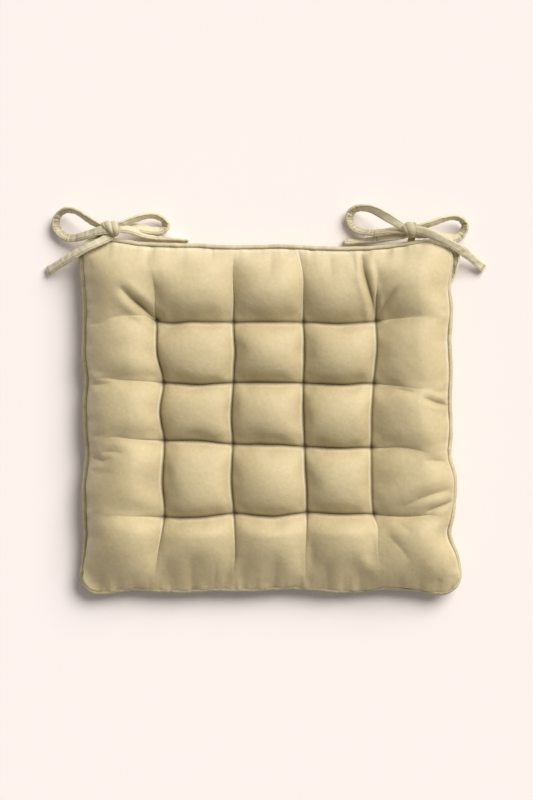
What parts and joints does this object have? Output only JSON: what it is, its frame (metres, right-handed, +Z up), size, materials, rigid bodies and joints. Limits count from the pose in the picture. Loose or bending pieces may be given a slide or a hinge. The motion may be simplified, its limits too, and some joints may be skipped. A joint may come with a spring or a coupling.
{
  "type": "chair seat pad",
  "caption": "Square velvet chair seat pad, tufted into puffs, with a piped edge and fabric ties in a bow at each back corner",
  "frame": {"origin": "on the surface the pad lies on, under the middle of the pad without its ties", "axes": "+Z up through the pad's thickness, +Y towards the back edge that ties to the chair, +X to the right with the back edge away from the viewer"},
  "size_m": [0.4583, 0.4068, 0.05],
  "materials": {
    "velvet": "matte",
    "piping_velvet": "matte",
    "tie_velvet": "matte",
    "wadding": "matte",
    "cotton_cord": "matte",
    "thread": "matte"
  },
  "bodies": {
    "pad": {"top_cover": "velvet", "bottom_cover": "velvet", "upper_wadding": "wadding", "core_wadding": "wadding", "lower_wadding": "wadding", "piping_cover": "piping_velvet", "piping_cord": "cotton_cord", "seam_thread": "thread", "tuft_threads": "thread", "closing_stitches": "thread", "left_side_tie": "tie_velvet", "left_back_tie": "tie_velvet", "left_outer_tail": "tie_velvet", "right_side_tie": "tie_velvet", "right_back_tie": "tie_velvet", "right_outer_tail": "tie_velvet"},
    "left_bow": {"left_bow_knot": "tie_velvet", "left_outer_loop": "tie_velvet", "left_inner_loop": "tie_velvet", "left_inner_tail": "tie_velvet", "left_tie_bends": "tie_velvet"},
    "right_bow": {"right_bow_knot": "tie_velvet", "right_outer_loop": "tie_velvet", "right_inner_loop": "tie_velvet", "right_inner_tail": "tie_velvet", "right_tie_bends": "tie_velvet"}
  },
  "joints": [
    {"name": "left_bow_swing", "type": "hinge", "parent": "pad", "child": "left_bow", "pos_m": [-0.1675, 0.187, 0.019], "axis": [1, 0, 0], "range_deg": [-38, 30], "deforming": ["left_tie_bends"]},
    {"name": "right_bow_swing", "type": "hinge", "parent": "pad", "child": "right_bow", "pos_m": [0.148, 0.187, 0.019], "axis": [1, 0, 0], "range_deg": [-38, 30], "deforming": ["right_tie_bends"]}
  ]
}
